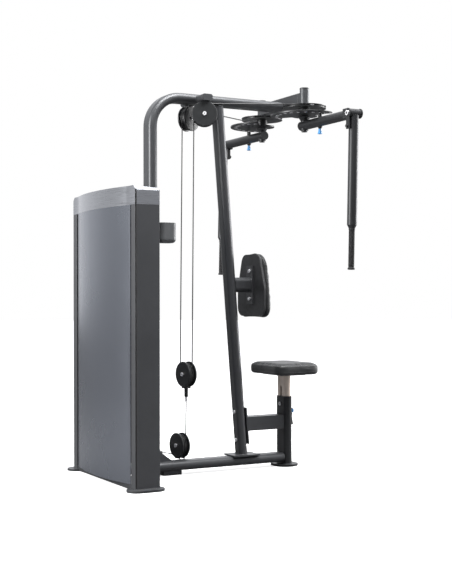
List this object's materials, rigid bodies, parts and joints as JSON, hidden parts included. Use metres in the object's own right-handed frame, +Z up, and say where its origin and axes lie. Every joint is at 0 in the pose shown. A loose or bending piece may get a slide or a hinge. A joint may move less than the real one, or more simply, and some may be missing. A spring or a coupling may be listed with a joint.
{
  "type": "pectoral fly and rear delt machine",
  "caption": "Selectorised pectoral fly and rear delt station: shrouded weight tower, bent top tube, hanging handles on start-adjustable arms, chest pad and height-adjustable seat.",
  "frame": {"origin": "on the floor under the centre of the machine's bounding box", "axes": "+Z up; +X from the weight tower towards the seat; +Y towards the far arm, away from the side the bottle holder is on"},
  "size_m": [1.2559, 1.414, 2.05],
  "materials": {
    "frame_paint": "satin charcoal metallic powder coat",
    "shroud_paint": "smooth satin blue-grey powder coat",
    "cap_plastic": "moulded silver-grey plastic, satin",
    "black_plastic": "moulded black nylon",
    "dark_steel": "black powder coat",
    "plain_steel": "bright zinc-plated steel",
    "chrome_steel": "polished chrome plate",
    "cast_plates": "black enamelled cast plate",
    "rubber_buffer": "matte black rubber",
    "red_pin": "steel pin with a moulded knob",
    "pad_vinyl": "black upholstery vinyl over foam",
    "pad_backing": "black moulded backing board",
    "holder_plastic": "grey moulded plastic",
    "cable_coat": "steel cable in a black nylon coat",
    "blue_knob": "sky-blue moulded knob on a steel pin",
    "black_lever": "black paddle on a blue hub",
    "grip_rubber": "ribbed black rubber"
  },
  "bodies": {
    "frame": {"base_beam": "frame_paint", "tower_base": "frame_paint", "tower_columns": "frame_paint", "front_shroud": "shroud_paint", "rear_shroud": "shroud_paint", "tower_cap": "cap_plastic", "tower_top_plate": "frame_paint", "guide_rods": "chrome_steel", "stack_bumpers": "rubber_buffer", "resting_plates": "cast_plates", "main_tube": "frame_paint", "upright": "frame_paint", "seat_brace": "frame_paint", "seat_sleeve": "frame_paint", "hub_crossbar": "frame_paint", "hub_bearings": "plain_steel", "hub_caps": "black_plastic", "pad_arm": "frame_paint", "chest_pad_board": "pad_backing", "chest_pad": "pad_vinyl", "top_pulley_hanger": "frame_paint", "pulley_mounts": "frame_paint", "bottle_holder": "holder_plastic", "frame_bolts": "plain_steel", "top_cables": "cable_coat", "long_strands": "cable_coat", "lower_strand": "cable_coat", "base_cable": "cable_coat", "stack_strand": "cable_coat"},
    "near_cam": {"near_cam": "plain_steel", "near_hole_plate": "frame_paint"},
    "near_arm": {"near_arm": "frame_paint", "near_arm_fittings": "frame_paint"},
    "near_pull_pin": {"near_pull_pin": "blue_knob"},
    "near_handle": {"near_handle": "frame_paint", "near_grip": "grip_rubber"},
    "far_cam": {"far_cam": "plain_steel", "far_hole_plate": "frame_paint"},
    "far_arm": {"far_arm": "frame_paint", "far_arm_fittings": "frame_paint"},
    "far_pull_pin": {"far_pull_pin": "blue_knob"},
    "far_handle": {"far_handle": "frame_paint", "far_grip": "grip_rubber"},
    "floating_block": {"floating_yoke": "dark_steel", "floating_loop": "cable_coat"},
    "weight_stack": {"stack_head": "cast_plates", "lifted_plates": "cast_plates"},
    "selector_pin": {"selector_pin": "red_pin"},
    "near_top_sheave": {"near_top_sheave": "black_plastic"},
    "far_top_sheave": {"far_top_sheave": "black_plastic"},
    "floating_sheave": {"floating_sheave": "black_plastic"},
    "lower_sheave": {"lower_sheave": "black_plastic"},
    "corner_sheave": {"corner_sheave": "black_plastic"},
    "tower_foot_sheave": {"tower_foot_sheave": "black_plastic"},
    "head_outer_sheave": {"head_outer_sheave": "black_plastic"},
    "head_inner_sheave": {"head_inner_sheave": "black_plastic"},
    "seat": {"seat_post": "chrome_steel", "seat_pad": "pad_vinyl"},
    "seat_lever": {"seat_lever": "black_lever"},
    "seat_lock_pin": {"seat_lock_pin": "plain_steel"}
  },
  "joints": [
    {"name": "near_press", "type": "hinge", "parent": "frame", "child": "near_cam", "pos_m": [0.488, -0.224, 1.9], "axis": [0, 0, 1], "range_deg": [0, 105]},
    {"name": "near_adjust", "type": "hinge", "parent": "near_cam", "child": "near_arm", "pos_m": [0.488, -0.224, 1.848], "axis": [0, 0, 1], "range_deg": [-90, 0]},
    {"name": "near_pin_pull", "type": "slide", "parent": "near_arm", "child": "near_pull_pin", "axis": [0, 0, -1], "range_m": [0, 0.018], "stiffness_N_per_m": 1000, "springref_m": -0.01},
    {"name": "near_handle_swing", "type": "hinge", "parent": "near_arm", "child": "near_handle", "pos_m": [0.488, -0.682, 1.848], "axis": [1, 0, 0], "range_deg": [-20, 20]},
    {"name": "far_press", "type": "hinge", "parent": "frame", "child": "far_cam", "pos_m": [0.488, 0.224, 1.9], "axis": [0, 0, 1], "range_deg": [-105, 0]},
    {"name": "far_adjust", "type": "hinge", "parent": "far_cam", "child": "far_arm", "pos_m": [0.488, 0.224, 1.848], "axis": [0, 0, 1], "range_deg": [0, 90]},
    {"name": "far_pin_pull", "type": "slide", "parent": "far_arm", "child": "far_pull_pin", "axis": [0, 0, -1], "range_m": [0, 0.018], "stiffness_N_per_m": 1000, "springref_m": -0.01},
    {"name": "far_handle_swing", "type": "hinge", "parent": "far_arm", "child": "far_handle", "pos_m": [0.488, 0.682, 1.848], "axis": [1, 0, 0], "range_deg": [-20, 20]},
    {"name": "floating_lift", "type": "slide", "parent": "frame", "child": "floating_block", "axis": [0, 0, 1], "range_m": [0, 0.198], "deforming": ["long_strands", "lower_strand"]},
    {"name": "stack_lift", "type": "slide", "parent": "frame", "child": "weight_stack", "axis": [0, 0, 1], "range_m": [0, 0.198], "deforming": ["stack_strand"]},
    {"name": "selector_pin_pull", "type": "slide", "parent": "weight_stack", "child": "selector_pin", "axis": [1, 0, 0], "range_m": [0, 0.065]},
    {"name": "near_top_spin", "type": "hinge", "parent": "frame", "child": "near_top_sheave", "pos_m": [-0.048, -0.092, 1.888], "axis": [0.4245, 0.9054, 0], "range_deg": [0, 209]},
    {"name": "far_top_spin", "type": "hinge", "parent": "frame", "child": "far_top_sheave", "pos_m": [-0.048, 0.092, 1.888], "axis": [-0.4245, 0.9054, 0], "range_deg": [0, 209]},
    {"name": "floating_spin", "type": "hinge", "parent": "floating_block", "child": "floating_sheave", "pos_m": [-0.112, 0, 0.523], "axis": [0.9903, 0.1392, 0], "continuous": true},
    {"name": "lower_spin", "type": "hinge", "parent": "frame", "child": "lower_sheave", "pos_m": [-0.1237, 0.0545, 0.143], "axis": [0.9903, 0.1392, 0], "range_deg": [-209, 0]},
    {"name": "corner_spin", "type": "hinge", "parent": "frame", "child": "corner_sheave", "pos_m": [-0.20423, 0.23234, 0.088], "axis": [0, 0, 1], "range_deg": [-209, 0]},
    {"name": "tower_foot_spin", "type": "hinge", "parent": "frame", "child": "tower_foot_sheave", "pos_m": [-0.469, 0.28735, 0.143], "axis": [0, 1, 0], "range_deg": [-209, 0]},
    {"name": "head_outer_spin", "type": "hinge", "parent": "frame", "child": "head_outer_sheave", "pos_m": [-0.524, 0.23234, 1.325], "axis": [1, 0, 0], "range_deg": [-209, 0]},
    {"name": "head_inner_spin", "type": "hinge", "parent": "frame", "child": "head_inner_sheave", "pos_m": [-0.524, 0.055, 1.325], "axis": [1, 0, 0], "range_deg": [-209, 0]},
    {"name": "seat_height", "type": "slide", "parent": "frame", "child": "seat", "axis": [0, 0, 1], "range_m": [-0.09, 0.09]},
    {"name": "seat_lever_swing", "type": "hinge", "parent": "frame", "child": "seat_lever", "pos_m": [0.532, 0, 0.302], "axis": [0, -1, 0], "range_deg": [0, 30], "stiffness_Nm_per_rad": 1, "springref_deg": -17.19},
    {"name": "seat_lock_draw", "type": "slide", "parent": "frame", "child": "seat_lock_pin", "axis": [1, 0, 0], "range_m": [0, 0.0081]}
  ],
  "couplings": [
    {"joint": "far_press", "follows": "near_press", "ratio": -1},
    {"joint": "floating_lift", "follows": "near_press", "m_per_rad": 0.108},
    {"joint": "stack_lift", "follows": "near_press", "m_per_rad": 0.108},
    {"joint": "near_top_spin", "follows": "near_press", "ratio": 1.9636},
    {"joint": "far_top_spin", "follows": "near_press", "ratio": 1.9636},
    {"joint": "lower_spin", "follows": "near_press", "ratio": -1.9636},
    {"joint": "corner_spin", "follows": "near_press", "ratio": -1.9636},
    {"joint": "tower_foot_spin", "follows": "near_press", "ratio": -1.9636},
    {"joint": "head_outer_spin", "follows": "near_press", "ratio": -1.9636},
    {"joint": "head_inner_spin", "follows": "near_press", "ratio": -1.9636},
    {"joint": "seat_lock_draw", "follows": "seat_lever_swing", "m_per_rad": 0.0153}
  ]
}
